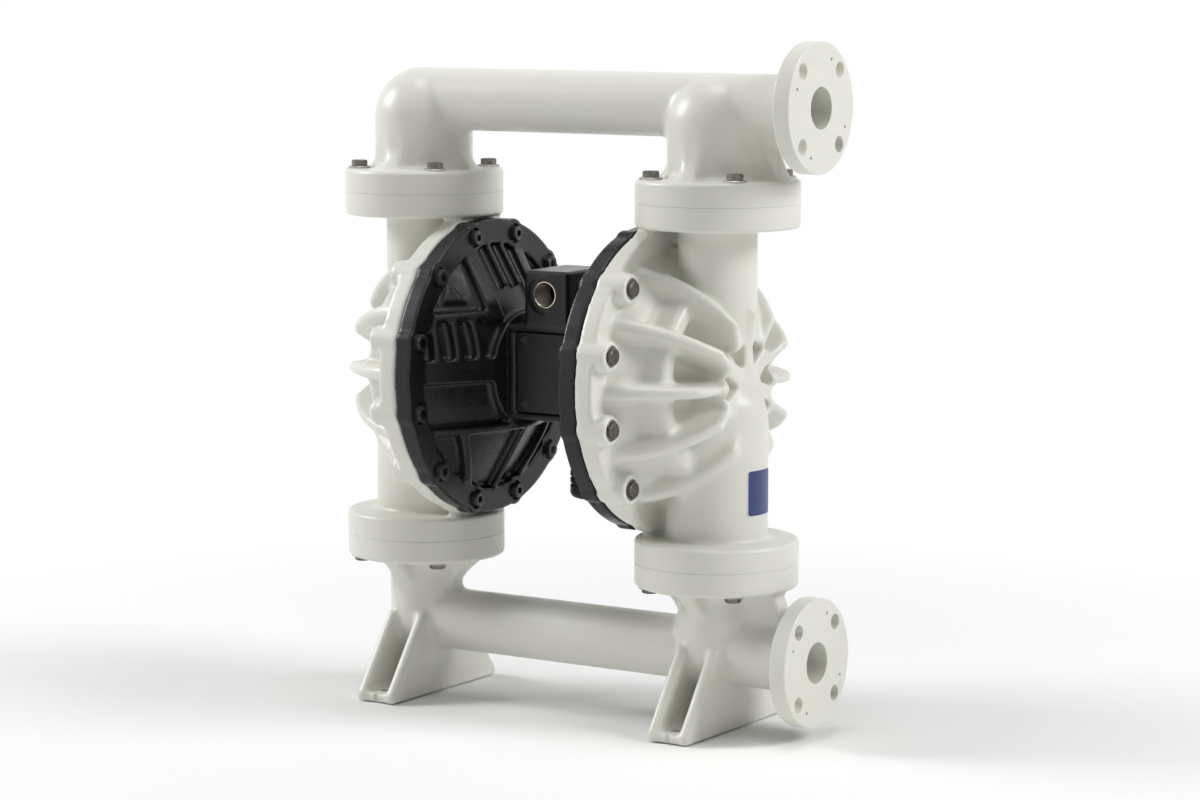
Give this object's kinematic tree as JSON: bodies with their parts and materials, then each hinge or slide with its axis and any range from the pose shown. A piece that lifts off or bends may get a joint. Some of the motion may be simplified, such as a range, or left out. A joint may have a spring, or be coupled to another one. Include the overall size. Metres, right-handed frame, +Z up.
{
  "type": "air operated diaphragm pump",
  "caption": "Free-standing plastic air operated double diaphragm pump with ribbed chambers on a common shaft, ball check manifolds above and below, and flanged ports.",
  "frame": {"origin": "on the floor, midway between the two feet and at the middle of their four bolt holes", "axes": "+X along the diaphragm shaft towards the port flanges, +Y from the air inlet side to the silencer side, +Z up"},
  "size_m": [0.656, 0.36, 0.8139],
  "materials": {
    "white_polypropylene": "satin moulded natural polypropylene",
    "black_casting": "black satin coating",
    "black_muffler": "matt black",
    "nickel_bushing": "bright nickel plate",
    "dark_bolts": "dark passivated steel",
    "dark_washers": "dark passivated steel",
    "brass_inserts": "machined",
    "steel_screws": "zinc plated",
    "rubber_gaskets": "matt",
    "rubber_seals": "matt",
    "rubber_diaphragm": "matt moulded",
    "rubber_balls": "smooth",
    "white_seats": "machined",
    "acetal_bushes": "machined",
    "steel_shaft": "ground",
    "aluminium_plates": "machined",
    "polypropylene_plates": "moulded",
    "blue_plate": "satin printed film"
  },
  "bodies": {
    "pump_housing": {"air_inlet_bushing": "nickel_bushing", "air_valve_body": "black_casting", "air_valve_caps": "aluminium_plates", "air_valve_gasket": "rubber_gaskets", "air_valve_plate": "aluminium_plates", "air_valve_screws": "dark_bolts", "centre_housing": "black_casting", "housing_gaskets": "rubber_gaskets", "housing_screws": "steel_screws", "inlet_joint_bolts": "dark_bolts", "inlet_joint_washers": "dark_washers", "inlet_manifold": "white_polypropylene", "joint_inserts": "brass_inserts", "left_air_cover": "black_casting", "left_cover_bolts": "dark_bolts", "left_cover_nuts": "dark_bolts", "left_cover_screws": "dark_bolts", "left_diaphragm": "rubber_diaphragm", "left_fluid_cover": "white_polypropylene", "left_inlet_valve_seat": "white_seats", "left_outlet_valve_seat": "white_seats", "muffler": "black_muffler", "outlet_joint_bolts": "dark_bolts", "outlet_joint_washers": "dark_washers", "outlet_manifold": "white_polypropylene", "pilot_bushes": "acetal_bushes", "rating_plate": "blue_plate", "right_air_cover": "black_casting", "right_cover_bolts": "dark_bolts", "right_cover_nuts": "dark_bolts", "right_cover_screws": "dark_bolts", "right_diaphragm": "rubber_diaphragm", "right_fluid_cover": "white_polypropylene", "right_inlet_valve_seat": "white_seats", "right_outlet_valve_seat": "white_seats", "seat_seals": "rubber_seals", "shaft_bushes": "acetal_bushes", "shaft_seals": "rubber_seals"},
    "shaft": {"shaft": "steel_shaft", "left_air_plate": "aluminium_plates", "right_air_plate": "aluminium_plates", "left_fluid_plate": "polypropylene_plates", "right_fluid_plate": "polypropylene_plates"},
    "left_pilot_pin": {"left_pilot_pin": "steel_shaft"},
    "right_pilot_pin": {"right_pilot_pin": "steel_shaft"},
    "air_valve_spool": {"air_valve_spool": "steel_shaft", "air_valve_slide": "acetal_bushes"},
    "left_inlet_check_ball": {"left_inlet_check_ball": "rubber_balls"},
    "left_outlet_check_ball": {"left_outlet_check_ball": "rubber_balls"},
    "right_inlet_check_ball": {"right_inlet_check_ball": "rubber_balls"},
    "right_outlet_check_ball": {"right_outlet_check_ball": "rubber_balls"}
  },
  "joints": [
    {"name": "shaft_slide", "type": "slide", "parent": "pump_housing", "child": "shaft", "axis": [1, 0, 0], "range_m": [-0.024, 0.024], "deforming": ["left_diaphragm", "right_diaphragm"]},
    {"name": "left_pilot_slide", "type": "slide", "parent": "pump_housing", "child": "left_pilot_pin", "axis": [1, 0, 0], "range_m": [-0.0048, 0.0048]},
    {"name": "right_pilot_slide", "type": "slide", "parent": "pump_housing", "child": "right_pilot_pin", "axis": [1, 0, 0], "range_m": [-0.0048, 0.0048]},
    {"name": "air_valve_slide", "type": "slide", "parent": "pump_housing", "child": "air_valve_spool", "axis": [1, 0, 0], "range_m": [0, 0.01]},
    {"name": "left_inlet_ball_lift", "type": "slide", "parent": "pump_housing", "child": "left_inlet_check_ball", "axis": [0, 0, 1], "range_m": [0, 0.014]},
    {"name": "left_outlet_ball_lift", "type": "slide", "parent": "pump_housing", "child": "left_outlet_check_ball", "axis": [0, 0, 1], "range_m": [0, 0.014]},
    {"name": "right_inlet_ball_lift", "type": "slide", "parent": "pump_housing", "child": "right_inlet_check_ball", "axis": [0, 0, 1], "range_m": [0, 0.014]},
    {"name": "right_outlet_ball_lift", "type": "slide", "parent": "pump_housing", "child": "right_outlet_check_ball", "axis": [0, 0, 1], "range_m": [0, 0.014]}
  ],
  "couplings": [
    {"joint": "left_pilot_slide", "follows": "shaft_slide", "ratio": 0.2},
    {"joint": "right_pilot_slide", "follows": "shaft_slide", "ratio": 0.2}
  ]
}
